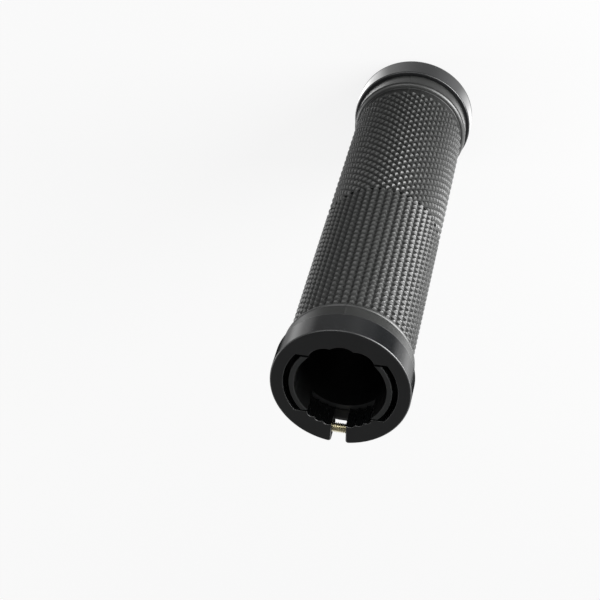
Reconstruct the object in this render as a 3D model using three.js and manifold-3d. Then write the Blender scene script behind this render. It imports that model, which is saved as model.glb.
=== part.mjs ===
// A lock-on handlebar grip: a knurled rubber sleeve moulded over a hard plastic core, held on
// the bar by a split aluminium clamp ring at each end, each drawn tight by a socket-head screw.
// Millimetres. +Z runs along the bore. The origin is the middle of the outboard end face, on
// which the grip stands. Both splits face -Y.

import * as THREE from 'three';
import { mergeVertices } from 'three/addons/utils/BufferGeometryUtils.js';
import Module from 'manifold-3d';

// Overall sizes
const LENGTH = 132;
const BAR_BORE_RADIUS = 11.1;
const CORE_WALL = 1.3;
const OVERMOULD_CLEARANCE = 0.1;

// Clamp rings
const RING_RADIUS = 17;
const RING_WIDTH = 7;
const RING_CHAMFER = 0.4;
const SPLIT_WIDTH = 3.5;
const SPLIT_CORNER = 0.7;
const CUSP_RADIUS = 11.4;
const SCALLOP_RADIUS = 12.05;
const TOP_SCALLOPS = 3;
const LOWER_SCALLOPS = 3;
const POCKET_RADIUS = 13.7;
const POCKET_HALF_HEIGHT = 8.45;
const OUTER_ARC_STEPS = 60;
const SCALLOP_STEPS = 4;
const POCKET_STEPS = 10;

// Clamp screw, M2.5 socket head
const SCREW_OFFSET = 14.6;
const SCREW_DEPTH = 2.9;
const SCREW_RADIUS = 1.25;
const SCREW_LENGTH = 10;
const SCREW_CLEARANCE = 0.3;
const HEAD_RADIUS = 2.25;
const HEAD_HEIGHT = 2.5;
const HEAD_SEAT = 3.3;
const HEAD_ROUNDING = 0.25;
const SOCKET_FLAT = 1;
const SOCKET_SIDES = 6;
const SOCKET_DEPTH = 1.3;
const SCREW_SEGMENTS = 16;

// Core tabs that lock into the ring pockets
const TAB_CLEARANCE = 0.45;
const CORE_SEGMENTS = 48;
const SHOULDER_GAP = 0.4;

// Rubber sleeve
const COLLAR_RADIUS = 16.2;
const COLLAR_WIDTH = 5.4;
const COLLAR_BODY_CORNER = 1.2;
const COLLAR_RING_CORNER = 0.3;
const BAND_RADIUS = 14.95;
const OUTBOARD_BAND = 2.8;
const INBOARD_BAND = 0.6;
const SLEEVE_SEGMENTS = 36;

// Knurl: square studs on the inboard half, diamond studs on the outboard half
const KNURL_BOUNDARY = 67.1;
const GROOVE_RADIUS = 15;
const TIP_RADIUS = 15.4;
const SQUARE_COLUMNS = 50;
const SQUARE_ROWS = 25;
const DIAMOND_COLUMNS = 36;
const DIAMOND_ROWS = 18;
const KNURL_ROOT = 13.6;
const UNDER_KNURL_RADIUS = 14.3;
const UNDER_KNURL_LAP = 0.5;

const CORE_RADIUS = BAR_BORE_RADIUS + CORE_WALL;
const SLEEVE_BORE_RADIUS = CORE_RADIUS + OVERMOULD_CLEARANCE;
const SHOULDER = RING_WIDTH + SHOULDER_GAP;
const COLLAR_END = SHOULDER + COLLAR_WIDTH;
const TURN = Math.PI * 2;

const wasm = await Module();
wasm.setup();

// A closed geometry as a solid that can be joined and cut
function solidFrom(geometry) {
  const bare = geometry.clone();
  for (const name of Object.keys(bare.attributes)) {
    if (name !== 'position') {
      bare.deleteAttribute(name);
    }
  }
  const merged = mergeVertices(bare, 1e-4);
  return new wasm.Manifold(new wasm.Mesh({
    numProp: 3,
    vertProperties: new Float32Array(merged.attributes.position.array),
    triVerts: new Uint32Array(merged.index.array),
  }));
}

// A solid back as a geometry
function geometryFrom(solid) {
  const mesh = solid.getMesh();
  const geometry = new THREE.BufferGeometry();
  geometry.setAttribute('position', new THREE.BufferAttribute(mesh.vertProperties, 3));
  geometry.setIndex(new THREE.BufferAttribute(mesh.triVerts, 1));
  geometry.computeVertexNormals();
  return geometry;
}

function pointAt(radius, angle) {
  return new THREE.Vector2(radius * Math.cos(angle), radius * Math.sin(angle));
}

// Points of an arc about the bore, both ends included
function arcPoints(radius, start, end, steps) {
  return Array.from({ length: steps + 1 }, (_, i) => pointAt(radius, start + (end - start) * i / steps));
}

// Shallow scallops between two angles: cusps reach in to CUSP_RADIUS, hollows out to SCALLOP_RADIUS
function scallopPoints(start, end, count) {
  const steps = count * SCALLOP_STEPS;
  return Array.from({ length: steps + 1 }, (_, i) => {
    const phase = (i % SCALLOP_STEPS) / SCALLOP_STEPS;
    const depth = (SCALLOP_RADIUS - CUSP_RADIUS) * Math.sin(Math.PI * phase) ** 0.8;
    return pointAt(CUSP_RADIUS + depth, start + (end - start) * i / steps);
  });
}

// A revolved profile turned to stand along +Z
function revolved(profile, segments) {
  const geometry = new THREE.LatheGeometry(profile, segments);
  geometry.rotateX(Math.PI / 2);
  return geometry;
}

// A cylinder along X between two places, at a height and at a distance from the bore axis
function cylinderAlongX(radius, fromX, toX, segments) {
  const geometry = new THREE.CylinderGeometry(radius, radius, toX - fromX, segments);
  geometry.rotateZ(Math.PI / 2);
  geometry.translate((fromX + toX) / 2, -SCREW_OFFSET, 0);
  return geometry;
}

// The ring's section: split at -Y, scalloped lands at +Y and beside the split, pockets at the sides
function ringSection() {
  const half = SPLIT_WIDTH / 2;
  const down = -Math.PI / 2;
  const cornerTurn = Math.asin((half + SPLIT_CORNER) / (RING_RADIUS - SPLIT_CORNER));
  const cornerCentre = pointAt(RING_RADIUS - SPLIT_CORNER, down + cornerTurn);
  const pocketOuter = Math.asin(POCKET_HALF_HEIGHT / POCKET_RADIUS);
  const pocketInner = Math.asin(POCKET_HALF_HEIGHT / CUSP_RADIUS);
  const splitInner = Math.asin(half / CUSP_RADIUS);

  const corner = [0, 0.5, 1].map((part) => {
    const angle = Math.PI + (down + TURN + cornerTurn - Math.PI) * part;
    return new THREE.Vector2(SPLIT_CORNER, 0)
      .rotateAround(new THREE.Vector2(), angle)
      .add(cornerCentre);
  });
  const outer = arcPoints(RING_RADIUS, down + cornerTurn, Math.PI / 2, OUTER_ARC_STEPS / 2).slice(1);
  const topLand = scallopPoints(pocketInner, Math.PI - pocketInner, TOP_SCALLOPS);
  const pocket = arcPoints(POCKET_RADIUS, pocketOuter, -pocketOuter, POCKET_STEPS);
  const lowerLand = scallopPoints(-pocketInner, down + splitInner, LOWER_SCALLOPS);

  const mirrored = (points) => points.map((p) => new THREE.Vector2(-p.x, p.y)).reverse();
  const rightOuter = [...corner, ...outer];
  const rightInner = [...topLand.slice(0, 1), ...pocket, ...lowerLand];
  const outline = [
    ...rightOuter,
    ...mirrored(rightOuter).slice(1),
    ...mirrored(rightInner),
    ...topLand.slice(1, -1).reverse(),
    ...rightInner,
  ];
  return new THREE.Shape(outline);
}

// One clamp ring from its outer face at z = 0 to its inner face at z = RING_WIDTH
function clampRing() {
  const body = new THREE.ExtrudeGeometry(ringSection(), {
    depth: RING_WIDTH - 2 * RING_CHAMFER,
    bevelEnabled: true,
    bevelThickness: RING_CHAMFER,
    bevelSize: RING_CHAMFER,
    bevelOffset: -RING_CHAMFER,
    bevelSegments: 1,
    steps: 1,
  });
  body.translate(0, 0, RING_CHAMFER);
  const holeRadius = SCREW_RADIUS + SCREW_CLEARANCE;
  const bore = cylinderAlongX(holeRadius, -RING_RADIUS, RING_RADIUS, SCREW_SEGMENTS);
  const recess = cylinderAlongX(HEAD_RADIUS + SCREW_CLEARANCE, HEAD_SEAT, RING_RADIUS, SCREW_SEGMENTS);
  bore.translate(0, 0, SCREW_DEPTH);
  recess.translate(0, 0, SCREW_DEPTH);
  return geometryFrom(solidFrom(body).subtract(solidFrom(bore)).subtract(solidFrom(recess)));
}

// The clamp screw, head towards +X, lying across the split
function clampScrew() {
  const profile = [
    new THREE.Vector2(0, -SCREW_LENGTH),
    new THREE.Vector2(SCREW_RADIUS - HEAD_ROUNDING, -SCREW_LENGTH),
    new THREE.Vector2(SCREW_RADIUS, HEAD_ROUNDING - SCREW_LENGTH),
    new THREE.Vector2(SCREW_RADIUS, 0),
    new THREE.Vector2(HEAD_RADIUS, 0),
    new THREE.Vector2(HEAD_RADIUS, HEAD_HEIGHT - HEAD_ROUNDING),
    new THREE.Vector2(HEAD_RADIUS - HEAD_ROUNDING, HEAD_HEIGHT),
    new THREE.Vector2(0, HEAD_HEIGHT),
  ];
  const body = new THREE.LatheGeometry(profile, SCREW_SEGMENTS);
  const socketCorner = SOCKET_FLAT / Math.cos(Math.PI / SOCKET_SIDES);
  const socket = new THREE.CylinderGeometry(socketCorner, socketCorner, 2 * SOCKET_DEPTH, SOCKET_SIDES);
  socket.translate(0, HEAD_HEIGHT, 0);
  const geometry = geometryFrom(solidFrom(body).subtract(solidFrom(socket)));
  geometry.rotateZ(-Math.PI / 2);
  geometry.translate(HEAD_SEAT + SCREW_CLEARANCE, -SCREW_OFFSET, SCREW_DEPTH);
  return geometry;
}

// The core: a tube between the ring shoulders, with two tabs at each end in the ring pockets
function innerCore() {
  const tube = (start, end) => revolved([
    new THREE.Vector2(BAR_BORE_RADIUS, start),
    new THREE.Vector2(CORE_RADIUS, start),
    new THREE.Vector2(CORE_RADIUS, end),
    new THREE.Vector2(BAR_BORE_RADIUS, end),
    new THREE.Vector2(BAR_BORE_RADIUS, start),
  ], CORE_SEGMENTS);
  const whole = solidFrom(tube(0, LENGTH));
  const notchHeight = 2 * CORE_RADIUS;
  const tabHalf = POCKET_HALF_HEIGHT - TAB_CLEARANCE;
  let core = whole;
  for (const side of [-1, 1]) {
    for (const end of [-1, 1]) {
      const notch = new THREE.BoxGeometry(4 * CORE_RADIUS, notchHeight, 2 * SHOULDER);
      notch.translate(0, side * (tabHalf + notchHeight / 2), end < 0 ? 0 : LENGTH);
      core = core.subtract(solidFrom(notch));
    }
  }
  return geometryFrom(core);
}

// A closed tube whose outside is a knurl. lattice lists its triangles, each corner of them as column,
// row and radius. border lists the corners of the end outlines as column and radius.
function knurlTube(columns, rows, start, end, lattice, border) {
  const positions = [];
  const place = ([column, row, radius]) => {
    const angle = (column / columns) * TURN;
    positions.push(radius * Math.cos(angle), radius * Math.sin(angle), start + (end - start) * row / rows);
  };
  const triangle = (a, b, c) => [a, b, c].forEach(place);
  const quad = (a, b, c, d) => {
    triangle(a, b, c);
    triangle(a, c, d);
  };
  lattice.forEach((corners) => triangle(...corners));
  border.forEach(([column, radius], i) => {
    const [next, nextRadius] = border[i + 1] ?? [columns, border[0][1]];
    const root = (at, row) => [at, row, KNURL_ROOT];
    quad([column, 0, radius], root(column, 0), root(next, 0), [next, 0, nextRadius]);
    quad([column, rows, radius], [next, rows, nextRadius], root(next, rows), root(column, rows));
    quad(root(column, 0), root(column, rows), root(next, rows), root(next, 0));
  });
  const geometry = new THREE.BufferGeometry();
  geometry.setAttribute('position', new THREE.Float32BufferAttribute(positions, 3));
  return geometry;
}

// Four-sided studs in rows and columns, with a groove between each two
function squareKnurl(start, end) {
  const lattice = [];
  const border = [];
  for (let column = 0; column < SQUARE_COLUMNS; column += 1) {
    border.push([column, GROOVE_RADIUS]);
    for (let row = 0; row < SQUARE_ROWS; row += 1) {
      const at = (x, y, radius) => [column + x, row + y, radius];
      const tip = at(0.5, 0.5, TIP_RADIUS);
      const corners = [[0, 0], [1, 0], [1, 1], [0, 1]].map(([x, y]) => at(x, y, GROOVE_RADIUS));
      corners.forEach((corner, i) => lattice.push([corner, corners[(i + 1) % 4], tip]));
    }
  }
  return knurlTube(SQUARE_COLUMNS, SQUARE_ROWS, start, end, lattice, border);
}

// The same studs turned by an eighth: tips stand at each cell's middle and corners
function diamondKnurl(start, end) {
  const lattice = [];
  const border = [];
  for (let column = 0; column < DIAMOND_COLUMNS; column += 1) {
    border.push([column, TIP_RADIUS], [column + 0.5, GROOVE_RADIUS]);
    for (let row = 0; row < DIAMOND_ROWS; row += 1) {
      const middle = [column + 0.5, row + 0.5, TIP_RADIUS];
      const at = (x, y, radius) => [column + x, row + y, radius];
      const sides = [[0.5, 0], [1, 0.5], [0.5, 1], [0, 0.5]].map(([x, y]) => at(x, y, GROOVE_RADIUS));
      const corners = [[1, 0], [1, 1], [0, 1], [0, 0]].map(([x, y]) => at(x, y, TIP_RADIUS));
      sides.forEach((side, i) => {
        const next = sides[(i + 1) % 4];
        lattice.push([side, next, middle]);
        lattice.push([side, corners[i], next]);
      });
    }
  }
  return knurlTube(DIAMOND_COLUMNS, DIAMOND_ROWS, start, end, lattice, border);
}

// One end of the smooth sleeve's section: the collar, then the band up to the knurl
function sleeveEnd(band) {
  const underKnurl = COLLAR_END + band + UNDER_KNURL_LAP;
  const bodyCorner = [0, 0.5, 1].map((part) => new THREE.Vector2(COLLAR_BODY_CORNER, 0)
    .rotateAround(new THREE.Vector2(), part * Math.PI / 2)
    .add(new THREE.Vector2(COLLAR_RADIUS - COLLAR_BODY_CORNER, COLLAR_END - COLLAR_BODY_CORNER)));
  return [
    new THREE.Vector2(SLEEVE_BORE_RADIUS, SHOULDER),
    new THREE.Vector2(COLLAR_RADIUS - COLLAR_RING_CORNER, SHOULDER),
    new THREE.Vector2(COLLAR_RADIUS, SHOULDER + COLLAR_RING_CORNER),
    ...bodyCorner,
    new THREE.Vector2(BAND_RADIUS, COLLAR_END),
    new THREE.Vector2(BAND_RADIUS, underKnurl),
    new THREE.Vector2(UNDER_KNURL_RADIUS, underKnurl),
  ];
}

// The smooth sleeve under the knurl, with a collar and a band at each end
function smoothSleeve() {
  const outboard = sleeveEnd(OUTBOARD_BAND);
  const inboard = sleeveEnd(INBOARD_BAND).map((p) => new THREE.Vector2(p.x, LENGTH - p.y)).reverse();
  return revolved([...outboard, ...inboard, outboard[0]], SLEEVE_SEGMENTS);
}

// The rubber sleeve, moulded in one piece
function gripSleeve() {
  const diamonds = diamondKnurl(COLLAR_END + OUTBOARD_BAND, KNURL_BOUNDARY);
  const squares = squareKnurl(KNURL_BOUNDARY, LENGTH - COLLAR_END - INBOARD_BAND);
  return geometryFrom(solidFrom(smoothSleeve()).add(solidFrom(diamonds)).add(solidFrom(squares)));
}

const rubber = new THREE.MeshStandardMaterial({ color: 0x262726, roughness: 0.7, metalness: 0 });
const plastic = new THREE.MeshStandardMaterial({ color: 0x2e3030, roughness: 0.5, metalness: 0 });
const anodised = new THREE.MeshStandardMaterial({ color: 0x16181a, roughness: 0.25, metalness: 0.6 });
const zinc = new THREE.MeshStandardMaterial({ color: 0xc8b98a, roughness: 0.35, metalness: 0.9 });

function named(name, geometry, material) {
  const mesh = new THREE.Mesh(geometry, material.clone());
  mesh.name = name;
  return mesh;
}

// A clamp end modelled at the outboard face, and turned about X's mirror for the inboard face
function clampEnd(prefix, inboard) {
  const end = new THREE.Group();
  end.add(named(`${prefix}_clamp_ring`, clampRing(), anodised));
  end.add(named(`${prefix}_clamp_screw`, clampScrew(), zinc));
  if (inboard) {
    end.rotation.y = Math.PI;
    end.position.z = LENGTH;
  }
  return end;
}

const group = new THREE.Group();
group.add(named('grip_sleeve', gripSleeve(), rubber));
group.add(named('inner_core', innerCore(), plastic));
group.add(clampEnd('outboard', false));
group.add(clampEnd('inboard', true));

export default group;
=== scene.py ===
# A lock-on handlebar grip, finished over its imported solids: knurled rubber sleeve, moulded core,
# two split clamp rings and their cap screws. Metres, in the frame of the solids.
from math import asin, atan2, cos, pi, radians, sin, tau

import bmesh
import bpy
from bpy.props import FloatProperty, FloatVectorProperty, IntProperty, PointerProperty
from bpy.types import Operator, Panel, PropertyGroup
from mathutils import Matrix, Vector


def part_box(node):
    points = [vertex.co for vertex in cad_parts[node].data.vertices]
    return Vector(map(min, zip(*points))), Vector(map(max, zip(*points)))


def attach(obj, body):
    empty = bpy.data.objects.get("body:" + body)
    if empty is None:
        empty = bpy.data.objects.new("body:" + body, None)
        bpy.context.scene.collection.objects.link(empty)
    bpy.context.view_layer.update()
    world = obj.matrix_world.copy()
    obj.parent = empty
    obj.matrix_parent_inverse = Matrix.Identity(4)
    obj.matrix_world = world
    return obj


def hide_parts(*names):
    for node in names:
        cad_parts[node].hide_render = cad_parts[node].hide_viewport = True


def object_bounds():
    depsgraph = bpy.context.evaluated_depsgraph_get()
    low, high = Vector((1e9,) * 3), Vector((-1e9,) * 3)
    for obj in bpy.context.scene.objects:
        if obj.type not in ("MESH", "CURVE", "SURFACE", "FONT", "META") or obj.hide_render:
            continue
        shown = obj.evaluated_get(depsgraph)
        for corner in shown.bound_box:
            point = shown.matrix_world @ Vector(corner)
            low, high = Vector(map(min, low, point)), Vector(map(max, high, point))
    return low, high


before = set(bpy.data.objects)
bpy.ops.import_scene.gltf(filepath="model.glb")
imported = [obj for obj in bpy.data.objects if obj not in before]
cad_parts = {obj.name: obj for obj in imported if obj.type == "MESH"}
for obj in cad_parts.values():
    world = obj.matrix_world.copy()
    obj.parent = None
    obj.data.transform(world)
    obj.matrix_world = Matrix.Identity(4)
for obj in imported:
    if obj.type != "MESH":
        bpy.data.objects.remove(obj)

bl_info = {
    "name": "Handlebar grip",
    "version": (1, 0, 0),
    "blender": (4, 5, 0),
    "location": "3D View > Sidebar > Grip",
    "description": "Builds the finished pieces of a lock-on handlebar grip over its solids",
    "category": "Object",
}

MM = 0.001

# The share by which the faces may differ in area from their triangles: the faces of a thread are a
# little warped, and a face that crosses itself differs by far more
AREA_TOLERANCE = 0.01
SOLID_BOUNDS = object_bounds()
LENGTH = SOLID_BOUNDS[1].z
RING_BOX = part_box("outboard_clamp_ring")
SLEEVE_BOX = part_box("grip_sleeve")
CORE_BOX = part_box("inner_core")
ENDS = ("outboard", "inboard")


# Property helpers


def length(name, description, default):
    return FloatProperty(
        name=name, description=description, default=default, unit="LENGTH", subtype="DISTANCE", precision=5
    )


def angle(name, description, degrees):
    return FloatProperty(name=name, description=description, default=radians(degrees), subtype="ANGLE")


def colour(name, description, default):
    return FloatVectorProperty(
        name=name, description=description, default=default, size=3, min=0, max=1, subtype="COLOR"
    )


def count(name, description, default):
    return IntProperty(name=name, description=description, default=default, min=1)


def pixels(name, description, default):
    return FloatProperty(name=name, description=description, default=default, subtype="PIXEL")


def power(name, description, default):
    return FloatProperty(name=name, description=description, default=default, min=0, unit="POWER")


# Settings


class GRIP_PG_sleeve(PropertyGroup):
    collar_radius: length("Collar radius", "Outside of the plain collar at each end", SLEEVE_BOX[1].x)
    collar_width: length("Collar width", "Width of the collar along the bar", 5.4 * MM)
    collar_corner: length("Collar corner", "Rounding of the collar beside the knurl", 1.2 * MM)
    ring_corner: length("Ring corner", "Rounding of the collar beside the clamp ring", 0.3 * MM)
    lip: length("Lip", "How proud the collar's edge stands beside the knurl", 0.18 * MM)
    overlap: length("Overlap", "How far the soft collar swells towards the clamp ring", 0.2 * MM)
    band_radius: length("Band radius", "Smooth band between the collar and the knurl", 14.95 * MM)
    outboard_band: length("Outboard band", "Width of the smooth band at the outboard end", 2.8 * MM)
    inboard_band: length("Inboard band", "Width of the smooth band at the inboard end", 0.6 * MM)
    boundary: length("Boundary", "Where the diamond studs meet the square studs", 67.1 * MM)
    groove_radius: length("Groove radius", "Bottom of the knurl's grooves", 14.8 * MM)
    stud_height: length("Stud height", "Height of a stud above its grooves", 0.6 * MM)
    root_radius: length("Root radius", "How far the knurl's shell reaches into the sleeve", 13.6 * MM)
    bore_radius: length("Bore radius", "Inside of the sleeve, on the core", 12.5 * MM)
    square_columns: count("Square columns", "Square studs round the sleeve", 50)
    square_rows: count("Square rows", "Rows of square studs, counted from the inboard band", 26)
    square_pitch: length("Square pitch", "Distance between two square studs along the sleeve", 2.024 * MM)
    square_turn: angle("Square turn", "Turn of the square studs round the sleeve", 0.5)
    diamond_columns: count("Diamond columns", "Diamond studs round the sleeve", 36)
    diamond_rows: count("Diamond rows", "Rows of diamond studs, counted from the boundary", 19)
    diamond_pitch: length("Diamond pitch", "Distance between two diamond studs along the sleeve", 2.784 * MM)
    diamond_turn: angle("Diamond turn", "Turn of the diamond studs round the sleeve", 2.8)
    parting_turn: angle("Parting line", "Where the mould's parting line runs", 93.5)
    parting_width: length("Parting width", "Width of the parting line", 0.3 * MM)
    parting_height: length("Parting height", "How proud the parting line stands", 0.08 * MM)
    rubber: colour("Rubber", "Colour of the rubber", (0.013, 0.0135, 0.013))


class GRIP_PG_ring(PropertyGroup):
    radius: length("Ring radius", "Outside of a clamp ring", RING_BOX[1].x)
    width: length("Ring width", "Width of a clamp ring along the bar", RING_BOX[1].z)
    rim: length("Rim", "Rounding round both faces", 0.5 * MM)
    inner_rim: length("Inner rim", "Rounding of both faces along the lands and the pockets", 0.28 * MM)
    split: length("Split", "Width of the split", 3.5 * MM)
    split_corner: length("Split corner", "Rounding of the split's outer corners", 0.7 * MM)
    cusp_radius: length("Cusp radius", "Where the lands touch the bar", 11.4 * MM)
    scallop_radius: length("Scallop radius", "Bottom of the hollows in the lands", 12.05 * MM)
    pocket_radius: length("Pocket radius", "Outer wall of the tab pockets", 13.7 * MM)
    pocket_half_height: length("Pocket half height", "End walls of the pockets from the axis", 8.45 * MM)
    scallops: count("Scallops", "Hollows in each land", 3)
    black: colour("Anodising", "Colour of the anodised rings", (0.0075, 0.008, 0.0085))


class GRIP_PG_core(PropertyGroup):
    bore_radius: length("Bar bore", "Inside of the core, on the bar", 11.1 * MM)
    radius: length("Core radius", "Outside of the core", CORE_BOX[1].x)
    tab_half_height: length("Tab half height", "Half the height of a tab across the bore", 8 * MM)
    shoulder: length("Shoulder", "Where the tabs stand on the full tube", SLEEVE_BOX[0].z)
    rim: length("Rim", "Chamfer round the core's ends", 0.2 * MM)
    plastic: colour("Plastic", "Colour of the moulded core", (0.012, 0.0125, 0.0125))


class GRIP_PG_screw(PropertyGroup):
    radius: length("Screw radius", "Outside of the thread", 1.25 * MM)
    pitch: length("Pitch", "Distance between two thread crests", 0.45 * MM)
    shank: length("Shank", "Length under the head", 10 * MM)
    clearance: length("Clearance", "Gap round the screw in its hole", 0.3 * MM)
    head_radius: length("Head radius", "Outside of the head", 2.25 * MM)
    head_height: length("Head height", "Height of the head", 2.5 * MM)
    socket: length("Socket", "Half the width of the key socket across its flats", 1 * MM)
    socket_depth: length("Socket depth", "Depth of the key socket", 1.3 * MM)
    seat: length("Seat", "Where the head seats, from the middle of the split", 3.3 * MM)
    offset: length("Offset", "Distance of the screw's axis from the bore's", 14.6 * MM)
    depth: length("Depth", "Distance of the screw's axis from the ring's outer face", 2.9 * MM)
    zinc: colour("Zinc", "Colour of the yellow zinc plating", (0.88, 0.83, 0.64))


class GRIP_PG_stage(PropertyGroup):
    focal_pixels: pixels("Focal length", "Focal length of the photograph, in its pixels", 1687)
    face_x: pixels("Face across", "Middle of the near face in the photograph, across", 339.9)
    face_y: pixels("Face down", "Middle of the near face in the photograph, down", 388.67)
    distance: length("Distance", "Depth of the near face's middle in front of the camera", 397.5 * MM)
    tilt: angle("Tilt", "Angle between the bore and the line of sight", 37.75)
    lean: angle("Lean", "Turn of the bore away from upright in the picture", 17.9)
    split_turn: angle("Split turn", "Turn of the split away from straight down in the picture", 8.8)
    key_power: power("Key power", "Power of the soft lamp on the right", 5)
    fill_power: power("Fill power", "Power of the soft lamp on the left", 1.5)
    floor: colour("Floor", "Colour of the floor", (0.86, 0.86, 0.86))


# Meshes


def placed(name, mesh):
    """A new object at the origin, with the mesh it is given."""
    piece = bpy.data.objects.new(name, mesh)
    bpy.context.scene.collection.objects.link(piece)
    return piece


def from_bmesh(name, bm):
    """A new object with the built mesh, its faces turned outward."""
    mesh = bpy.data.meshes.new(name)
    bmesh.ops.recalc_face_normals(bm, faces=bm.faces)
    bm.to_mesh(mesh)
    bm.free()
    return placed(name, mesh)


def settle(piece):
    """Turns the piece's modifiers into its plain mesh."""
    depsgraph = bpy.context.evaluated_depsgraph_get()
    mesh = bpy.data.meshes.new_from_object(piece.evaluated_get(depsgraph), depsgraph=depsgraph)
    piece.modifiers.clear()
    piece.data = mesh
    return piece


def combine(piece, operation, *others):
    """Joins or cuts the piece with others, which are used up."""
    for other in others:
        step = piece.modifiers.new(operation.title(), "BOOLEAN")
        step.operation = operation
        step.solver = "MANIFOLD"
        step.object = other
    settle(piece)
    for other in others:
        bpy.data.objects.remove(other)
    return piece


def dress(piece, material, crease):
    """Gives the piece its material, with edges sharper than the crease left hard."""
    piece.data.materials.clear()
    piece.data.materials.append(material)
    piece.data.polygons.foreach_set("material_index", [0] * len(piece.data.polygons))
    piece.data.shade_smooth()
    piece.data.set_sharp_from_angle(angle=crease)
    finish = piece.modifiers.new("Flat faces stay flat", "WEIGHTED_NORMAL")
    finish.keep_sharp = True


def check_skin(piece):
    """Stops the script where a piece is open, or where one of its faces crosses itself."""
    mesh = piece.data
    bm = bmesh.new()
    bm.from_mesh(mesh)
    closed = all(edge.is_manifold for edge in bm.edges)
    bm.free()
    mesh.calc_loop_triangles()
    faces = sum(face.area for face in mesh.polygons)
    triangles = sum(triangle.area for triangle in mesh.loop_triangles)
    if not closed:
        raise RuntimeError(f"{piece.name} has an open edge")
    if abs(triangles / faces - 1) > AREA_TOLERANCE:
        raise RuntimeError(f"{piece.name} has a face that crosses itself, by area {triangles / faces:.4f}")


def stand_in(piece, node):
    """The piece rides on the body and replaces a node of the solids."""
    check_skin(piece)
    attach(piece, "root")
    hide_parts(node)


def around(radius, turn, z=0.0):
    """The point at a radius and a turn about the bore, at a height."""
    return Vector((radius * cos(turn), radius * sin(turn), z))


def even_turns(steps):
    return [tau * i / steps for i in range(steps)]


def spread(start, end, steps):
    return [start + (end - start) * i / steps for i in range(steps + 1)]


def arc(radius, start, end, steps):
    return [around(radius, turn) for turn in spread(start, end, steps)]


def rounded_corner(centre, radius, start, end, steps=4):
    """Points (radius, z) of a rounded corner in a profile."""
    turns = spread(start, end, steps)
    return [(centre[0] + radius * cos(t), centre[1] + radius * sin(t)) for t in turns]


def skin(bm, rows, closed_along=True):
    """Faces between rows of vertices that each run all the way round."""
    last = len(rows) if closed_along else len(rows) - 1
    for i in range(last):
        row, above = rows[i], rows[(i + 1) % len(rows)]
        for k in range(len(row)):
            n = (k + 1) % len(row)
            bm.faces.new((row[k], row[n], above[n], above[k]))


def lathe(name, profile, turns, proud=None):
    """A closed profile of (radius, z) turned round Z. proud(turn, radius) adds to the radius."""
    bm = bmesh.new()
    rows = [
        [bm.verts.new(around(radius + (proud(turn, radius) if proud else 0), turn, z)) for turn in turns]
        for radius, z in profile
    ]
    skin(bm, rows)
    return from_bmesh(name, bm)


def stack(name, levels):
    """A closed solid through levels of points, with a flat face at each end."""
    bm = bmesh.new()
    rows = [[bm.verts.new(point) for point in level] for level in levels]
    skin(bm, rows, closed_along=False)
    bm.faces.new(rows[0])
    bm.faces.new(rows[-1])
    return from_bmesh(name, bm)


def cylinder_across(name, radius, start, end, height, depth, steps):
    """A cylinder along X at a height on Y and a depth on Z."""
    turns = even_turns(steps)
    return stack(
        name, [[(x, height + radius * cos(t), depth + radius * sin(t)) for t in turns] for x in (start, end)]
    )


# Node trees


def add(tree, kind, inputs=None, **settings):
    """A node of the kind, with its settings, and its inputs set from values or linked from sockets."""
    node = tree.nodes.new(kind)
    for name, value in settings.items():
        setattr(node, name, value)
    for key, value in (inputs or {}).items():
        if isinstance(value, bpy.types.NodeSocket):
            tree.links.new(value, node.inputs[key])
        else:
            node.inputs[key].default_value = value
    return node


def calculate(tree, operation, *values, clamp=False):
    inputs = dict(enumerate(values))
    return add(tree, "ShaderNodeMath", inputs, operation=operation, use_clamp=clamp).outputs[0]


def split_axes(tree, vector):
    """The vector's X, Y and Z."""
    return add(tree, "ShaderNodeSeparateXYZ", {"Vector": vector}).outputs


def round_the_bore(tree, radius, turn, along):
    """The position at a radius, a turn and a height about the Z axis."""
    across = {
        "X": calculate(tree, "MULTIPLY", radius, calculate(tree, "COSINE", turn)),
        "Y": calculate(tree, "MULTIPLY", radius, calculate(tree, "SINE", turn)),
        "Z": along,
    }
    return add(tree, "ShaderNodeCombineXYZ", across).outputs[0]


def interface(tree, inputs, outputs):
    """Named sockets of a group: (name, socket type, default)."""
    for name, kind, default in inputs:
        socket = tree.interface.new_socket(name, in_out="INPUT", socket_type=kind)
        if default is not None:
            socket.default_value = default
    for name, kind in outputs:
        tree.interface.new_socket(name, in_out="OUTPUT", socket_type=kind)
    return tree.nodes.new("NodeGroupInput").outputs, tree.nodes.new("NodeGroupOutput").inputs


def finish_tree(tree, geometry, material, result):
    """Ends a geometry tree with real geometry in its material."""
    real = add(tree, "GeometryNodeRealizeInstances", {"Geometry": geometry}).outputs[0]
    coated = add(tree, "GeometryNodeSetMaterial", {"Geometry": real, "Material": material})
    tree.links.new(coated.outputs[0], result["Geometry"])
    return tree


def run_tree(piece, tree, values):
    """Runs a geometry tree on the piece with inputs by name, and keeps the result as its plain mesh."""
    step = piece.modifiers.new(tree.name, "NODES")
    step.node_group = tree
    for item in tree.interface.items_tree:
        if item.in_out == "INPUT" and item.name in values:
            step[item.identifier] = values[item.name]
    return settle(piece)


# Knurl

# Outlines of the studs in their unit cell, and their flank: (share of the way in, rise)
STUD_OUTLINES = {
    "square": ((-0.5, -0.5), (0.5, -0.5), (0.5, 0.5), (-0.5, 0.5)),
    "diamond": ((0, -0.5), (0.5, 0), (0, 0.5), (-0.5, 0)),
}
STUD_FLANK = ((0.0, 0.0), (0.12, 0.05), (0.54, 0.62), (0.70, 0.83), (0.85, 0.95))

# The plain sleeve: its sides, its crease beside the collar, the slope of the lip, and how far it
# runs in under the knurl and stands back there
SLEEVE_SIDES = 192
CREASE = 0.15 * MM
LIP_RUN = 1.7
KNURL_LAP = 0.5 * MM
KNURL_SEAT = 0.7 * MM


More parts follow.
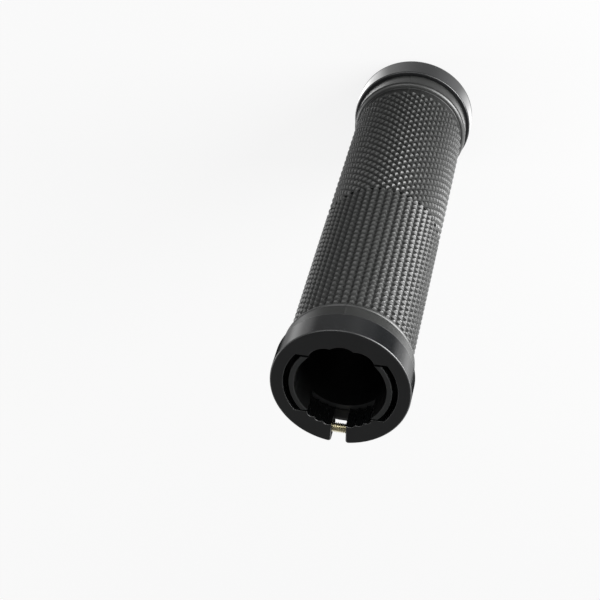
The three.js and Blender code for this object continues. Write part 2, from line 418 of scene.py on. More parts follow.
def knurl_tree():
    """Repeats one stud in columns and rows, and wraps them round the sleeve."""
    tree = bpy.data.node_groups.new("Knurl", "GeometryNodeTree")
    sizes, result = interface(
        tree,
        [
            ("Stud", "NodeSocketGeometry", None),
            ("Columns", "NodeSocketInt", 50),
            ("Rows", "NodeSocketInt", 25),
            ("Staggered", "NodeSocketBool", False),
            ("Turn", "NodeSocketFloat", 0.0),
            ("Start", "NodeSocketFloat", 0.0),
            ("Pitch", "NodeSocketFloat", 1.0),
            ("Groove Radius", "NodeSocketFloat", 1.0),
            ("Stud Height", "NodeSocketFloat", 1.0),
            ("Material", "NodeSocketMaterial", None),
        ],
        [("Geometry", "NodeSocketGeometry")],
    )

    # One unit across is a column and one unit down is a row, until the field is wrapped
    def field(columns, rows):
        grid = {
            "Size X": calculate(tree, "SUBTRACT", columns, 1.0),
            "Size Y": calculate(tree, "SUBTRACT", rows, 1.0),
            "Vertices X": columns,
            "Vertices Y": rows,
        }
        points = add(tree, "GeometryNodeMeshGrid", grid).outputs["Mesh"]
        instances = {"Points": points, "Instance": sizes["Stud"]}
        return add(tree, "GeometryNodeInstanceOnPoints", instances).outputs[0]

    # Staggered studs get a second field, half a column on, with its rows between the first one's
    second = field(sizes["Columns"], calculate(tree, "ADD", sizes["Rows"], 1.0))
    shift = {"Geometry": second, "Translation": (0.5, 0.0, 0.0)}
    shifted = add(tree, "GeometryNodeTransform", shift).outputs[0]
    choice = {"Switch": sizes["Staggered"], "True": shifted}
    between = add(tree, "GeometryNodeSwitch", choice, input_type="GEOMETRY").outputs[0]
    joined = add(tree, "GeometryNodeJoinGeometry")
    tree.links.new(field(sizes["Columns"], sizes["Rows"]), joined.inputs[0])
    tree.links.new(between, joined.inputs[0])
    studs = add(tree, "GeometryNodeRealizeInstances", {"Geometry": joined.outputs[0]}).outputs[0]

    # Rows that stand out past the first field's ends are dropped
    flat = split_axes(tree, add(tree, "GeometryNodeInputPosition").outputs[0])
    half_rows = calculate(tree, "DIVIDE", sizes["Rows"], 2.0)
    outside = calculate(tree, "GREATER_THAN", calculate(tree, "ABSOLUTE", flat["Y"]), half_rows)
    surplus = {"Geometry": studs, "Selection": outside}
    kept = add(tree, "GeometryNodeDeleteGeometry", surplus, domain="FACE").outputs[0]

    # Columns become turns, rows become heights, and the studs stand out from the groove
    share = calculate(tree, "DIVIDE", flat["X"], sizes["Columns"])
    turn = calculate(tree, "MULTIPLY_ADD", share, tau, sizes["Turn"])
    radius = calculate(tree, "MULTIPLY_ADD", flat["Z"], sizes["Stud Height"], sizes["Groove Radius"])
    row = calculate(tree, "ADD", flat["Y"], half_rows)
    height = calculate(tree, "MULTIPLY_ADD", row, sizes["Pitch"], sizes["Start"])
    wrapped = {"Geometry": kept, "Position": round_the_bore(tree, radius, turn, height)}
    sleeve = add(tree, "GeometryNodeSetPosition", wrapped).outputs[0]
    weld = {"Geometry": sleeve, "Distance": 0.01 * MM}
    welded = add(tree, "GeometryNodeMergeByDistance", weld).outputs[0]
    return finish_tree(tree, welded, sizes["Material"], result)


def stud(name, outline):
    """One four-sided stud in its unit cell: a filleted foot, plain flanks and a domed tip."""
    bm = bmesh.new()
    rows = [[bm.verts.new((x * (1 - t), y * (1 - t), rise)) for x, y in outline] for t, rise in STUD_FLANK]
    skin(bm, rows, closed_along=False)
    tip = bm.verts.new((0, 0, 1))
    for k in range(len(outline)):
        bm.faces.new((rows[-1][k], rows[-1][(k + 1) % len(outline)], tip))
    mesh = bpy.data.meshes.new(name)
    bm.to_mesh(mesh)
    bm.free()
    return placed(name, mesh)


def close_tube(piece, radius, low, high):
    """Cuts a knurled skin off level at both ends and closes it into a tube with its inside at the radius."""
    bm = bmesh.new()
    bm.from_mesh(piece.data)
    for level, outward in ((low, -1), (high, 1)):
        bmesh.ops.bisect_plane(
            bm,
            geom=[*bm.verts, *bm.edges, *bm.faces],
            dist=0.001 * MM,
            plane_co=(0, 0, level),
            plane_no=(0, 0, outward),
            clear_outer=True,
        )
    rims = [edge for edge in bm.edges if edge.is_boundary]
    walls = bmesh.ops.extrude_edge_only(bm, edges=rims)["geom"]
    inner = [item for item in walls if isinstance(item, bmesh.types.BMVert)]
    for vert in inner:
        vert.co = around(radius, atan2(vert.co.y, vert.co.x), vert.co.z)
    bmesh.ops.bridge_loops(bm, edges=[edge for edge in bm.edges if edge.is_boundary])
    bmesh.ops.recalc_face_normals(bm, faces=bm.faces)
    bm.to_mesh(piece.data)
    bm.free()
    return piece


def knurl(tree, settings, kind, end, low, high, material):
    """The diamond or square studs, whose last row ends at a height, cut off level at low and high."""
    rows = getattr(settings, f"{kind}_rows")
    pitch = getattr(settings, f"{kind}_pitch")
    values = {
        "Columns": getattr(settings, f"{kind}_columns"),
        "Rows": rows,
        "Staggered": kind == "diamond",
        "Turn": getattr(settings, f"{kind}_turn"),
        "Start": end - rows * pitch,
        "Pitch": pitch,
        "Groove Radius": settings.groove_radius,
        "Stud Height": settings.stud_height,
        "Material": material,
    }
    studs = run_tree(stud(f"{kind}_studs", STUD_OUTLINES[kind]), tree, values)
    return close_tube(studs, settings.root_radius, low, high)


def sleeve_end(settings, band):
    """Profile of one end of the plain sleeve: the collar, then the band up to the knurl."""
    top = SLEEVE_BOX[0].z + settings.collar_width
    low = SLEEVE_BOX[0].z - settings.overlap
    corner, edge = settings.collar_corner, settings.ring_corner
    waist = settings.collar_radius - settings.lip
    under_knurl = top + band + KNURL_LAP
    return [
        (settings.bore_radius, low),
        *rounded_corner((waist - edge, low + edge), edge, -pi / 2, 0),
        (waist, top - corner - LIP_RUN * settings.lip),
        *rounded_corner((settings.collar_radius - corner, top - corner), corner, 0, pi / 2, 6),
        (settings.band_radius + CREASE, top),
        (settings.band_radius, top + CREASE),
        (settings.band_radius, under_knurl),
        (settings.band_radius - KNURL_SEAT, under_knurl),
    ]


def smooth_sleeve(settings):
    """The plain sleeve under the knurl, with a collar and a band at each end and the parting line."""
    inboard = sleeve_end(settings, settings.inboard_band)
    profile = sleeve_end(settings, settings.outboard_band)
    profile += [(radius, LENGTH - z) for radius, z in reversed(inboard)]
    seams = [settings.parting_turn, settings.parting_turn + pi]
    half = settings.parting_width / settings.collar_radius / 2
    line = (-2, -0.6, 0.6, 2)
    turns = even_turns(SLEEVE_SIDES) + [(seam + k * half) % tau for seam in seams for k in line]

    def proud(turn, radius):
        nearest = min(abs((turn - seam + pi) % tau - pi) for seam in seams)
        on_surface = radius > settings.root_radius
        return settings.parting_height if on_surface and nearest < half else 0

    return lathe("knurled_sleeve", profile, sorted(turns), proud)


def build_sleeve(settings):
    collar_end = SLEEVE_BOX[0].z + settings.collar_width
    low = collar_end + settings.outboard_band
    high = LENGTH - collar_end - settings.inboard_band
    middle = settings.boundary
    material = rubber_material(settings)
    tree = knurl_tree()
    diamonds = knurl(tree, settings, "diamond", middle, low, middle, material)
    squares = knurl(tree, settings, "square", high, middle, high, material)
    sleeve = combine(smooth_sleeve(settings), "UNION", diamonds, squares)
    dress(sleeve, material, radians(26))
    stand_in(sleeve, "grip_sleeve")


# Clamp rings

# How square the hollows of the lands are, and the steps along the ring's outline
HOLLOW_POWER = 0.8
OUTSIDE_STEPS = 90
POCKET_STEPS = 30
TOP_HOLLOW_STEPS = 10
LOWER_HOLLOW_STEPS = 6
SPLIT_CORNER_STEPS = 5
RIM_STEPS = 4
HOLE_SIDES = 32
RECESS_SIDES = 48


def scallops(settings, start, end, steps):
    """Points of a land: cusps that touch the bar, with round hollows between them."""
    points = []
    for i, turn in enumerate(spread(start, end, settings.scallops * steps)):
        hollow = sin(pi * (i % steps) / steps) ** HOLLOW_POWER
        radius = settings.cusp_radius + (settings.scallop_radius - settings.cusp_radius) * hollow
        points.append(around(radius, turn))
    return points


def ring_outline(settings):
    """The section of a ring, split at -Y: right half from the split round, then its mirror image."""
    half = settings.split / 2
    down = -pi / 2
    corner_turn = down + asin((half + settings.split_corner) / (settings.radius - settings.split_corner))
    corner_centre = around(settings.radius - settings.split_corner, corner_turn)
    corner = [corner_centre + p for p in arc(settings.split_corner, -pi, corner_turn, SPLIT_CORNER_STEPS)]
    outer = arc(settings.radius, corner_turn, pi / 2, OUTSIDE_STEPS)[1:]
    pocket_outer = asin(settings.pocket_half_height / settings.pocket_radius)
    pocket_inner = asin(settings.pocket_half_height / settings.cusp_radius)
    split_inner = asin(half / settings.cusp_radius)
    top_land = scallops(settings, pocket_inner, pi - pocket_inner, TOP_HOLLOW_STEPS)
    pocket = arc(settings.pocket_radius, pocket_outer, -pocket_outer, POCKET_STEPS)
    lower_land = scallops(settings, -pocket_inner, down + split_inner, LOWER_HOLLOW_STEPS)

    def mirrored(points):
        return [Vector((-p.x, p.y, p.z)) for p in reversed(points)]

    right_outer = corner + outer
    right_inner = top_land[:1] + pocket + lower_land
    return (
        right_outer + mirrored(right_outer)[1:] + mirrored(right_inner) + top_land[1:-1][::-1] + right_inner
    )


def inset(outline, outer, inner, border):
    """The outline moved into the material along the middle of each corner, by less inside the border."""
    moved = []
    for i, point in enumerate(outline):
        before = (point - outline[i - 1]).normalized()
        after = (outline[(i + 1) % len(outline)] - point).normalized()
        inward = Vector((-before.y - after.y, before.x + after.x, 0)).normalized()
        moved.append(point + inward * (outer if point.length > border else inner))
    return moved


def rounded_ring(name, settings):
    """The split ring from its outer face at z = 0, with the rim of both faces rounded."""
    near = [(1 - sin(t), settings.rim * (1 - cos(t))) for t in spread(0, pi / 2, RIM_STEPS)]
    far = [(share, settings.width - z) for share, z in reversed(near)]
    outline = ring_outline(settings)
    border = (settings.radius + settings.pocket_radius) / 2
    levels = []
    for share, z in near + far:
        points = inset(outline, share * settings.rim, share * settings.inner_rim, border)
        levels.append([point + Vector((0, 0, z)) for point in points])
    return stack(name, levels)


def turned_over(piece):
    """Moves a piece made at the outboard end to the inboard end, turned round."""
    piece.data.transform(Matrix.Translation((0, 0, LENGTH)) @ Matrix.Rotation(pi, 4, "Y"))


def build_rings(settings, screw):
    material = anodised_material(settings)
    screw_axis = (-screw.offset, screw.depth)
    hole_radius = screw.radius + screw.clearance
    recess_radius = screw.head_radius + screw.clearance
    side = settings.radius
    for end in ENDS:
        ring = rounded_ring(f"{end}_split_ring", settings)
        hole = cylinder_across("hole", hole_radius, -side, side, *screw_axis, HOLE_SIDES)
        recess = cylinder_across("recess", recess_radius, screw.seat, side, *screw_axis, RECESS_SIDES)
        combine(ring, "DIFFERENCE", hole, recess)
        if end == "inboard":
            turned_over(ring)
        dress(ring, material, radians(40))
        stand_in(ring, f"{end}_clamp_ring")


# Core

CORE_SIDES = 144


def notch(settings, side, end):
    """What is cut from the tube above or below the tabs at one end."""
    near, far = sorted((side * settings.tab_half_height, side * 2 * settings.radius))
    reach = 2 * settings.radius
    corners = ((-reach, near), (reach, near), (reach, far), (-reach, far))
    levels = (end - settings.shoulder, end + settings.shoulder)
    return stack("notch", [[(x, y, z) for x, y in corners] for z in levels])


def build_core(settings):
    rim = settings.rim
    inside, outside = settings.bore_radius, settings.radius
    low_end = [(inside, rim), (inside + rim, 0), (outside - rim, 0), (outside, rim)]
    profile = low_end + [(radius, LENGTH - z) for radius, z in reversed(low_end)]
    core = lathe("tabbed_core", profile, even_turns(CORE_SIDES))
    notches = [notch(settings, side, end) for side in (-1, 1) for end in (0, LENGTH)]
    combine(core, "DIFFERENCE", *notches)
    dress(core, plastic_material(settings), radians(30))
    stand_in(core, "inner_core")


# Screws

# Thread: its depth for each unit of pitch, the slope of its flanks and the flat on its crest. There
# are about eight steps to a turn.
THREAD_DEPTH = 0.61
FLANK_SLOPE = 2.6
CREST_FLAT = 0.15
THREAD_SIDES = 28
THREAD_STEPS = 178

# Head: the depth of its neck in the shank, and how much slimmer the neck is
NECK_LENGTH = 0.6 * MM
NECK_STEP = 0.2 * MM
HEAD_EDGE = 0.1 * MM
HEAD_ROUNDING = 0.3 * MM
HEAD_SIDES = 48
SOCKET_SIDES = 6


def thread_tree():
    """A threaded rod along Z: a cylinder whose radius follows a helix and tapers at its tip."""
    tree = bpy.data.node_groups.new("Screw thread", "GeometryNodeTree")
    sizes, result = interface(
        tree,
        [
            ("Geometry", "NodeSocketGeometry", None),
            ("Radius", "NodeSocketFloat", 1.0),
            ("Pitch", "NodeSocketFloat", 0.1),
            ("Thread Depth", "NodeSocketFloat", 0.1),
            ("Length", "NodeSocketFloat", 1.0),
            ("Sides", "NodeSocketInt", 24),
            ("Steps", "NodeSocketInt", 160),
            ("Material", "NodeSocketMaterial", None),
        ],
        [("Geometry", "NodeSocketGeometry")],
    )
    rod = {
        "Vertices": sizes["Sides"],
        "Side Segments": sizes["Steps"],
        "Radius": sizes["Radius"],
        "Depth": sizes["Length"],
    }
    plain = add(tree, "GeometryNodeMeshCylinder", rod).outputs["Mesh"]

    # The groove follows the turns climbed, from a crest to the next one
    place = split_axes(tree, add(tree, "GeometryNodeInputPosition").outputs[0])
    turn = calculate(tree, "ARCTAN2", place["Y"], place["X"])
    start = calculate(tree, "DIVIDE", turn, tau)
    climbed = calculate(tree, "SUBTRACT", calculate(tree, "DIVIDE", place["Z"], sizes["Pitch"]), start)
    crest = calculate(tree, "PINGPONG", climbed, 0.5)
    flank = calculate(tree, "MULTIPLY_ADD", crest, FLANK_SLOPE, -CREST_FLAT, clamp=True)
    cut = calculate(tree, "MULTIPLY", flank, sizes["Thread Depth"])

    # The first turn is tapered down to the groove
    to_tip = calculate(tree, "ADD", place["Z"], calculate(tree, "DIVIDE", sizes["Length"], 2.0))
    taper = calculate(tree, "SUBTRACT", 1.0, calculate(tree, "DIVIDE", to_tip, sizes["Pitch"]), clamp=True)
    cut_back = calculate(tree, "MAXIMUM", cut, calculate(tree, "MULTIPLY", taper, sizes["Thread Depth"]))
    radius = calculate(tree, "SUBTRACT", sizes["Radius"], cut_back)
    moved = {"Geometry": plain, "Position": round_the_bore(tree, radius, turn, place["Z"])}
    threaded = add(tree, "GeometryNodeSetPosition", moved).outputs[0]
    return finish_tree(tree, threaded, sizes["Material"], result)


def screw_head(settings):
    """A socket head, standing on z = 0, with a short neck that goes into the shank."""
    top, side = settings.head_height, settings.head_radius
    neck = settings.radius - NECK_STEP
    outline = [
        (neck, -NECK_LENGTH),
        (neck, 0),
        (side - HEAD_EDGE, 0),
        (side, HEAD_EDGE),
        *rounded_corner((side - HEAD_ROUNDING, top - HEAD_ROUNDING), HEAD_ROUNDING, 0, pi / 2),
    ]
    head = stack("head", [[around(radius, t, z) for t in even_turns(HEAD_SIDES)] for radius, z in outline])
    corner = settings.socket / cos(pi / SOCKET_SIDES)
    levels = (top - settings.socket_depth, top + settings.socket_depth)
    socket = stack("socket", [[around(corner, t, z) for t in even_turns(SOCKET_SIDES)] for z in levels])
    return combine(head, "DIFFERENCE", socket)


def build_screws(settings):
    material = zinc_material(settings)
    tree = thread_tree()
    for end in ENDS:
        screw = placed(f"{end}_cap_screw", bpy.data.meshes.new(f"{end}_cap_screw"))
        values = {
            "Radius": settings.radius,
            "Pitch": settings.pitch,
            "Thread Depth": THREAD_DEPTH * settings.pitch,
            "Length": settings.shank,
            "Sides": THREAD_SIDES,
            "Steps": THREAD_STEPS,
            "Material": material,
        }
        run_tree(screw, tree, values)
        screw.data.transform(Matrix.Translation((0, 0, -settings.shank / 2)))
        combine(screw, "UNION", screw_head(settings))
        seat = Matrix.Translation((settings.seat + settings.clearance, -settings.offset, settings.depth))
        screw.data.transform(seat @ Matrix.Rotation(pi / 2, 4, "Y"))
        if end == "inboard":
            turned_over(screw)
        dress(screw, material, radians(35))
        stand_in(screw, f"{end}_clamp_screw")


# Materials


def new_material(name):
    material = bpy.data.materials.new(name)
    material.use_nodes = True
    tree = material.node_tree
    return material, tree, tree.nodes["Principled BSDF"]


def fine_grain_group():
    """Fine grain and broad patches over a surface, from its own coordinates."""
    group = bpy.data.node_groups.get("Fine grain")
    if group:
        return group
    group = bpy.data.node_groups.new("Fine grain", "ShaderNodeTree")
    given, result = interface(
        group,
        [("Grain Size", "NodeSocketFloat", 0.0003), ("Patch Size", "NodeSocketFloat", 0.01)],
        [("Grain", "NodeSocketFloat"), ("Patches", "NodeSocketFloat")],
    )
    place = add(group, "ShaderNodeTexCoord").outputs["Object"]
    for size, name, detail in (("Grain Size", "Grain", 3.0), ("Patch Size", "Patches", 4.0)):
        scale = calculate(group, "DIVIDE", 1.0, given[size])
        noise = add(group, "ShaderNodeTexNoise", {"Vector": place, "Scale": scale, "Detail": detail})
        group.links.new(noise.outputs[0], result[name])
    return group


def bore_place_group():
    """Distance from the bore's axis as a mask between two radii, and how far a face looks along it."""
    group = bpy.data.node_groups.get("Bore place")
    if group:
        return group
    group = bpy.data.node_groups.new("Bore place", "ShaderNodeTree")
    given, result = interface(
        group,
        [("Inner", "NodeSocketFloat", 0.0), ("Outer", "NodeSocketFloat", 1.0)],
        [("Outward", "NodeSocketFloat"), ("Facing", "NodeSocketFloat"), ("Lines", "NodeSocketFloat")],
    )
    coordinates = add(group, "ShaderNodeTexCoord").outputs
    place = split_axes(group, coordinates["Object"])
    level = add(group, "ShaderNodeCombineXYZ", {"X": place["X"], "Y": place["Y"]}).outputs[0]
    radius = add(group, "ShaderNodeVectorMath", {0: level}, operation="LENGTH").outputs["Value"]
    facing = calculate(group, "ABSOLUTE", split_axes(group, coordinates["Normal"])["Z"])
    rings = add(group, "ShaderNodeCombineXYZ", {"X": radius, "Z": place["Z"]}).outputs[0]
    lines = add(group, "ShaderNodeTexNoise", {"Vector": rings, "Scale": 6000.0, "Detail": 2.0}).outputs[0]
    group.links.new(remap(group, radius, 0.0, 1.0, given["Inner"], given["Outer"]), result["Outward"])
    group.links.new(facing, result["Facing"])
    group.links.new(lines, result["Lines"])
    return group


def grain_over(tree, grain_size, patch_size):
    sizes = {"Grain Size": grain_size, "Patch Size": patch_size}
    return add(tree, "ShaderNodeGroup", sizes, node_tree=fine_grain_group()).outputs


def place_on_bore(tree, inner, outer):
    radii = {"Inner": inner, "Outer": outer}
    return add(tree, "ShaderNodeGroup", radii, node_tree=bore_place_group()).outputs


def tinted(colour, factor):
    return tuple(factor * part for part in colour)


def mix_colours(tree, factor, first, second):
    """Mixes two colours, each either a socket or red, green and blue."""
    first, second = (c if isinstance(c, bpy.types.NodeSocket) else (*c, 1) for c in (first, second))
    return add(tree, "ShaderNodeMix", {0: factor, 6: first, 7: second}, data_type="RGBA").outputs[2]


def remap(tree, value, low, high, start=0.0, end=1.0):
    limits = {"Value": value, "From Min": start, "From Max": end, "To Min": low, "To Max": high}
    return add(tree, "ShaderNodeMapRange", limits).outputs[0]


def bump(tree, shader, height, distance, strength):
    node = add(tree, "ShaderNodeBump", {"Strength": strength, "Distance": distance, "Height": height})
    tree.links.new(node.outputs[0], shader.inputs["Normal"])


def rubber_material(settings):
    """Moulded rubber: dull grooves darkened with painted shade, tips painted lighter as a painted highlight
    and smoother, plain collars, fine grain.
    """
    material, tree, shader = new_material("moulded_rubber")
    tips_end = settings.groove_radius + settings.stud_height
    outward = place_on_bore(tree, settings.groove_radius, tips_end)["Outward"]
    collar = place_on_bore(tree, tips_end, settings.collar_radius)["Outward"]
    grain = grain_over(tree, grain_size=0.00018, patch_size=0.012)

    # The colour runs from painted shade in the grooves, patchy with the grain, to a painted highlight on the
    # lighter tips, and back to plain rubber on the collars
    painted_groove_shade = mix_colours(tree, grain["Patches"], tinted(settings.rubber, 0.35), settings.rubber)
    tips = calculate(tree, "POWER", outward, 2.0)
    painted_shade_and_highlight = mix_colours(tree, tips, painted_groove_shade, tinted(settings.rubber, 2.6))
    tree.links.new(mix_colours(tree, collar, painted_shade_and_highlight, settings.rubber), shader.inputs["Base Color"])

    # A thin sheen of handling on the tips, less of it on the collars
    handled = calculate(tree, "MULTIPLY_ADD", collar, -0.65, 1.0)
    tree.links.new(calculate(tree, "MULTIPLY", tips, handled), shader.inputs["Coat Weight"])
    shader.inputs["Coat Roughness"].default_value = 0.26
    patchy = remap(tree, grain["Patches"], 0.42, 0.52)
    rough = calculate(tree, "SUBTRACT", patchy, calculate(tree, "MULTIPLY", outward, 0.14))
    tree.links.new(rough, shader.inputs["Roughness"])
    shader.inputs["Specular IOR Level"].default_value = 0.22
    bump(tree, shader, grain["Grain"], 0.00002, 0.6)
    return material


def anodised_material(settings):
    """Gloss black anodising: polished outside, satin faces with fine turning lines."""
    material, tree, shader = new_material("black_anodising")
    place = place_on_bore(tree, 0.0, settings.radius)
    grain = grain_over(tree, grain_size=0.00012, patch_size=0.008)
    tone = mix_colours(tree, grain["Patches"], settings.black, tinted(settings.black, 1.6))
    tree.links.new(tone, shader.inputs["Base Color"])
    rough = remap(tree, place["Facing"], 0.13, 0.34)
    patchy = calculate(tree, "MULTIPLY", rough, remap(tree, grain["Patches"], 0.85, 1.15))
    tree.links.new(patchy, shader.inputs["Roughness"])
    shader.inputs["IOR"].default_value = 1.52
    bump(tree, shader, place["Lines"], 0.000004, 0.5)
    return material


def plastic_material(settings):
    """Moulded plastic core: satin, with a soft mottle, fine grain and painted light that makes the end faces
    paler.
    """
    material, tree, shader = new_material("core_plastic")
    grain = grain_over(tree, grain_size=0.0003, patch_size=0.006)
    facing = place_on_bore(tree, settings.bore_radius, settings.radius)["Facing"]
    mottled = mix_colours(tree, grain["Patches"], tinted(settings.plastic, 0.3), settings.plastic)
    # Faces that look along the bore are painted paler: painted light on the ends and the tabs
    tone = mix_colours(tree, facing, mottled, tinted(settings.plastic, 3.2))
    tree.links.new(tone, shader.inputs["Base Color"])
    tree.links.new(remap(tree, grain["Patches"], 0.36, 0.5), shader.inputs["Roughness"])
    shader.inputs["Specular IOR Level"].default_value = 0.15
    bump(tree, shader, grain["Grain"], 0.00002, 0.4)
    return material


def zinc_material(settings):
    """Yellow zinc plating: a metal whose tint and gloss drift in soft patches."""
    material, tree, shader = new_material("yellow_zinc")
    grain = grain_over(tree, grain_size=0.0002, patch_size=0.002)
    tone = mix_colours(tree, grain["Patches"], tinted(settings.zinc, 0.72), settings.zinc)
    tree.links.new(tone, shader.inputs["Base Color"])
    shader.inputs["Metallic"].default_value = 1.0
    tree.links.new(remap(tree, grain["Patches"], 0.2, 0.4), shader.inputs["Roughness"])
    bump(tree, shader, grain["Grain"], 0.000006, 0.4)
    return material


# Stage

# Side of the photograph in pixels, half the side of the floor, and the level of its white
PICTURE_SIDE = 600
FLOOR_HALF = 1.5
FLOOR_WHITE = 1.08

# What the gloss mirrors all round the grip. Each card has a profile of (radius, height) in
# millimetres, and tones of (degrees round from the camera towards the right of the picture, level).
REFLECTIONS = {
    "ring_reflection": (
        ((17.3, 0.1), (21.7, 0.1)),
        (
            (-180, 0.8), (-140, 1.1), (-100, 2.4), (-80, 3.3), (-60, 2.4), (-40, 1.0), (0, 0.55),
            (40, 1.0), (60, 2.3), (80, 3.2), (110, 2.2), (140, 1.0), (180, 0.8),
        ),
    ),
    "collar_reflection": (
        ((21.7, 0.1), (28, 0.1)),
        (
            (-180, 2.0), (-140, 1.6), (-110, 0.4), (-60, 0.3), (40, 0.35), (80, 0.9), (120, 1.8),
            (180, 2.0),
        ),
    ),
    "knurl_reflection": (
        ((28, 0.1), (102, 0.1)),
        (
            (-180, 0.8), (-120, 0.6), (-90, 0.3), (0, 0.22), (40, 0.3), (70, 1.0), (95, 1.4),
            (130, 1.3), (160, 0.7), (180, 0.6),
        ),
    ),
    "floor_reflection": (
        ((102, 0.1), (170, 0.1)),
        (
            (-180, 0.02), (-140, 0.02), (-120, 0.5), (-100, 1.6), (-80, 0.95), (-60, 0.3),
            (-20, 0.33), (0, 0.42), (20, 0.24), (40, 0.02), (60, 0.02), (80, 0.85), (100, 1.6),
            (120, 0.8), (135, 0.02), (180, 0.02),
        ),
    ),
    "wall_reflection": (
        ((450, 60), (450, 330)),
        (
            (-180, 0.5), (-140, 0.8), (-100, 1.6), (-60, 1.2), (-40, 3.0), (-15, 3.0), (-5, 1.0),
            (8, 3.5), (25, 8.5), (50, 9.0), (75, 4.5), (100, 2.0), (120, 1.6), (150, 0.8),
            (180, 0.5),
        ),
    ),
    "low_wall_reflection": (
        ((300, 0.5), (450, 60)),
        (
            (-180, 0.5), (-140, 0.5), (-100, 0.6), (-60, 0.6), (-40, 1.2), (-15, 1.2), (0, 1.2),
            (15, 2.5), (30, 11.0), (50, 19.0), (75, 15.0), (95, 7.0), (115, 3.0), (130, 1.5),
            (150, 0.8), (180, 0.5),
        ),
    ),
}
CARD_SIDES = 96


def place_camera(settings):
    """The camera where the photograph was taken, from the measured place of the near face."""
    data = bpy.data.cameras.new("camera")
    data.lens = settings.focal_pixels / PICTURE_SIDE * data.sensor_width
    data.clip_start, data.clip_end = 0.01, 10
    lean, tilt = settings.lean, settings.tilt
    bore = Vector((sin(tilt) * sin(lean), -sin(tilt) * cos(lean), cos(tilt)))
    down = Vector((0, 1, 0))
    face_down = (down - down.dot(bore) * bore).normalized()
    face_right = face_down.cross(bore)
    split = cos(settings.split_turn) * face_down - sin(settings.split_turn) * face_right
    to_part = Matrix((split.cross(bore), -split, -bore))
    across = settings.face_x - PICTURE_SIDE / 2
    below = settings.face_y - PICTURE_SIDE / 2
    near_face = Vector((across, below, settings.focal_pixels)) / settings.focal_pixels * settings.distance
    origin = near_face + bore * LENGTH
    camera = placed("camera", data)
    looking = to_part @ Matrix.Diagonal((1, -1, -1))
    camera.matrix_world = Matrix.Translation(-(to_part @ origin)) @ looking.to_4x4()
    bpy.context.scene.camera = camera
    return camera


def sheet(name, corners, faces, material):
    """A thin sheet of the stage."""
    mesh = bpy.data.meshes.new(name)
    mesh.from_pydata(corners, [], faces)
    mesh.materials.append(material)
    piece = placed(name, mesh)
    return piece


def floor_material(settings):
    """A pale floor that is white to the camera and to reflections, and keeps the shadow."""
    material, tree, shader = new_material("floor")
    shader.inputs["Base Color"].default_value = (*settings.floor, 1)
    shader.inputs["Roughness"].default_value = 0.9
    shader.inputs["Specular IOR Level"].default_value = 0.0
    path = add(tree, "ShaderNodeLightPath").outputs
    white = add(tree, "ShaderNodeEmission", {"Color": (1, 1, 1, 1), "Strength": FLOOR_WHITE})
    seen = calculate(tree, "MAXIMUM", path["Is Camera Ray"], path["Is Glossy Ray"])
    share = calculate(tree, "MULTIPLY", seen, 0.75)
    mixed = add(tree, "ShaderNodeMixShader", {0: share, 1: shader.outputs[0], 2: white.outputs[0]})
    tree.links.new(mixed.outputs[0], tree.nodes["Material Output"].inputs["Surface"])
    return material


def card_material(heading, tones):
    """Soft light whose level runs smoothly through the tones, round from the camera's heading."""
    material, tree, _ = new_material("reflected_tones")
    place = split_axes(tree, add(tree, "ShaderNodeTexCoord").outputs["Object"])
    ahead = calculate(tree, "MULTIPLY", place["X"], cos(heading))
    ahead = calculate(tree, "MULTIPLY_ADD", place["Y"], sin(heading), ahead)
    left = calculate(tree, "MULTIPLY", place["X"], -sin(heading))
    left = calculate(tree, "MULTIPLY_ADD", place["Y"], cos(heading), left)
    share = remap(tree, calculate(tree, "ARCTAN2", left, ahead), 1.0, 0.0, -pi, pi)
    ramp = add(tree, "ShaderNodeValToRGB", {0: share})
    ramp.color_ramp.interpolation = "EASE"
    stops = ramp.color_ramp.elements
    brightest = max(level for turn, level in tones)
    greys = [(turn / 360 + 0.5, (*[level / brightest] * 3, 1)) for turn, level in tones]
    stops[0].color, stops[1].color = greys[0][1], greys[-1][1]
    for position, grey in greys[1:-1]:
        stops.new(position).color = grey
    strength = calculate(tree, "MULTIPLY", ramp.outputs[0], brightest)
    light = add(tree, "ShaderNodeEmission", {"Color": (1, 1, 1, 1), "Strength": strength})
    tree.links.new(light.outputs[0], tree.nodes["Material Output"].inputs["Surface"])
    return material


def reflection_card(name, profile, heading, tones):
    """A card all round the grip, seen only in reflections."""
    corners = [around(radius * MM, t, z * MM) for radius, z in profile for t in even_turns(CARD_SIDES)]
    pairs = [(k, (k + 1) % CARD_SIDES) for k in range(CARD_SIDES)]
    faces = [(k, n, CARD_SIDES + n, CARD_SIDES + k) for k, n in pairs]
    card = sheet(name, corners, faces, card_material(heading, tones))
    card.visible_camera = False
    card.visible_diffuse = False
    card.visible_shadow = False


def soft_lamp(name, turn, elevation, distance, width, height, power, target):
    """A rectangular area lamp that looks at the target from a direction."""
    data = bpy.data.lights.new(name, "AREA")
    data.shape = "RECTANGLE"
    data.size, data.size_y = width, height
    data.energy = power
    lamp = placed(name, data)
    direction = around(cos(elevation), turn, sin(elevation))
    lamp.location = target + direction * distance
    lamp.rotation_euler = direction.to_track_quat("Z", "Y").to_euler()
    lamp.visible_camera = False


def studio_world():
    """A plain grey surround for the object, white to the camera."""
    world = bpy.data.worlds.new("surround")
    bpy.context.scene.world = world
    world.use_nodes = True
    tree = world.node_tree
    path = add(tree, "ShaderNodeLightPath").outputs
    dimmed = calculate(tree, "MULTIPLY_ADD", path["Is Glossy Ray"], -0.2, 0.42)
    strength = calculate(tree, "MAXIMUM", dimmed, path["Is Camera Ray"])
    background = tree.nodes["Background"]
    background.inputs["Color"].default_value = (1, 1, 1, 1)
    tree.links.new(strength, background.inputs["Strength"])


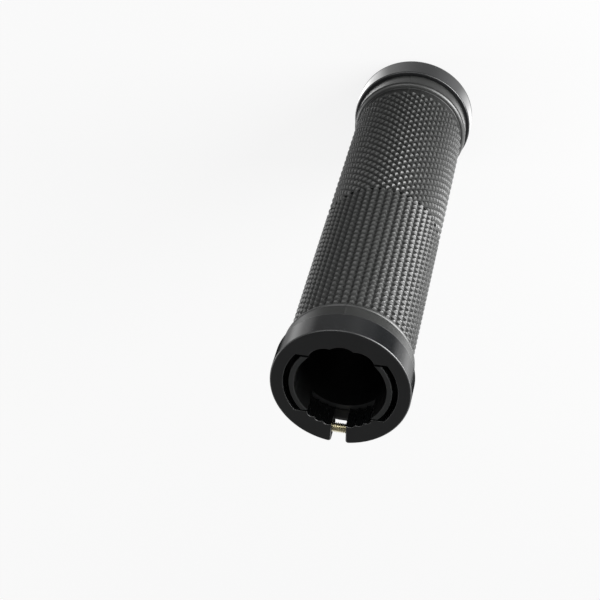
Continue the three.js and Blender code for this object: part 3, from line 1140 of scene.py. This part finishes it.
def build_stage(settings):
    scene = bpy.context.scene
    scene.view_settings.view_transform = "Standard"
    camera = place_camera(settings)
    signs = ((-1, -1), (1, -1), (1, 1), (-1, 1))
    corners = [(x * FLOOR_HALF, y * FLOOR_HALF, 0) for x, y in signs]
    sheet("floor", corners, [range(4)], floor_material(settings))
    studio_world()

    # The lamps stand low: the key on the right of the camera, the fill on the left and further round
    heading = atan2(camera.location.y, camera.location.x)
    middle = Vector((0, 0, LENGTH / 2))
    key = {"turn": heading - radians(55.8), "distance": 0.5, "width": 0.34, "power": settings.key_power}
    fill = {"turn": heading + radians(117), "distance": 0.6, "width": 0.3, "power": settings.fill_power}
    for name, lamp in (("key", key), ("fill", fill)):
        soft_lamp(name, target=middle, elevation=radians(1), height=0.12, **lamp)
    for name, (profile, tones) in REFLECTIONS.items():
        reflection_card(name, profile, heading, tones)


# Operators


class GRIP_OT_stage(Operator):
    """Makes the camera, floor, lamps, surround and reflection cards"""

    bl_idname = "grip.stage"
    bl_label = "Stage"

    def execute(self, context):
        build_stage(context.scene.grip_stage)
        return {"FINISHED"}


class GRIP_OT_sleeve(Operator):
    """Makes the knurled rubber sleeve"""

    bl_idname = "grip.sleeve"
    bl_label = "Rubber sleeve"

    def execute(self, context):
        build_sleeve(context.scene.grip_sleeve)
        return {"FINISHED"}


class GRIP_OT_rings(Operator):
    """Makes the two split clamp rings"""

    bl_idname = "grip.rings"
    bl_label = "Clamp rings"

    def execute(self, context):
        build_rings(context.scene.grip_ring, context.scene.grip_screw)
        return {"FINISHED"}


class GRIP_OT_core(Operator):
    """Makes the moulded core with its tabs"""

    bl_idname = "grip.core"
    bl_label = "Core"

    def execute(self, context):
        build_core(context.scene.grip_core)
        return {"FINISHED"}


class GRIP_OT_screws(Operator):
    """Makes the two cap screws"""

    bl_idname = "grip.screws"
    bl_label = "Cap screws"

    def execute(self, context):
        build_screws(context.scene.grip_screw)
        return {"FINISHED"}


class GRIP_PT_panel(Panel):
    """Lists the grip's pieces and their sizes"""

    bl_label = "Handlebar grip"
    bl_idname = "GRIP_PT_panel"
    bl_space_type = "VIEW_3D"
    bl_region_type = "UI"
    bl_category = "Grip"

    def draw(self, context):
        for operator in OPERATORS:
            self.layout.operator(operator.bl_idname)
        for name, group in SETTINGS.items():
            box = self.layout.box()
            for key in group.__annotations__:
                box.prop(getattr(context.scene, name), key)


SETTINGS = {
    "grip_stage": GRIP_PG_stage,
    "grip_sleeve": GRIP_PG_sleeve,
    "grip_ring": GRIP_PG_ring,
    "grip_core": GRIP_PG_core,
    "grip_screw": GRIP_PG_screw,
}
OPERATORS = (GRIP_OT_stage, GRIP_OT_sleeve, GRIP_OT_rings, GRIP_OT_core, GRIP_OT_screws)
CLASSES = (*SETTINGS.values(), *OPERATORS, GRIP_PT_panel)


def register():
    for cls in CLASSES:
        bpy.utils.register_class(cls)
    for name, group in SETTINGS.items():
        setattr(bpy.types.Scene, name, PointerProperty(type=group))


def unregister():
    for name in SETTINGS:
        delattr(bpy.types.Scene, name)
    for cls in reversed(CLASSES):
        bpy.utils.unregister_class(cls)


def main():
    register()
    bpy.ops.grip.stage()
    bpy.ops.grip.sleeve()
    bpy.ops.grip.rings()
    bpy.ops.grip.core()
    bpy.ops.grip.screws()


if __name__ == "__main__":
    main()
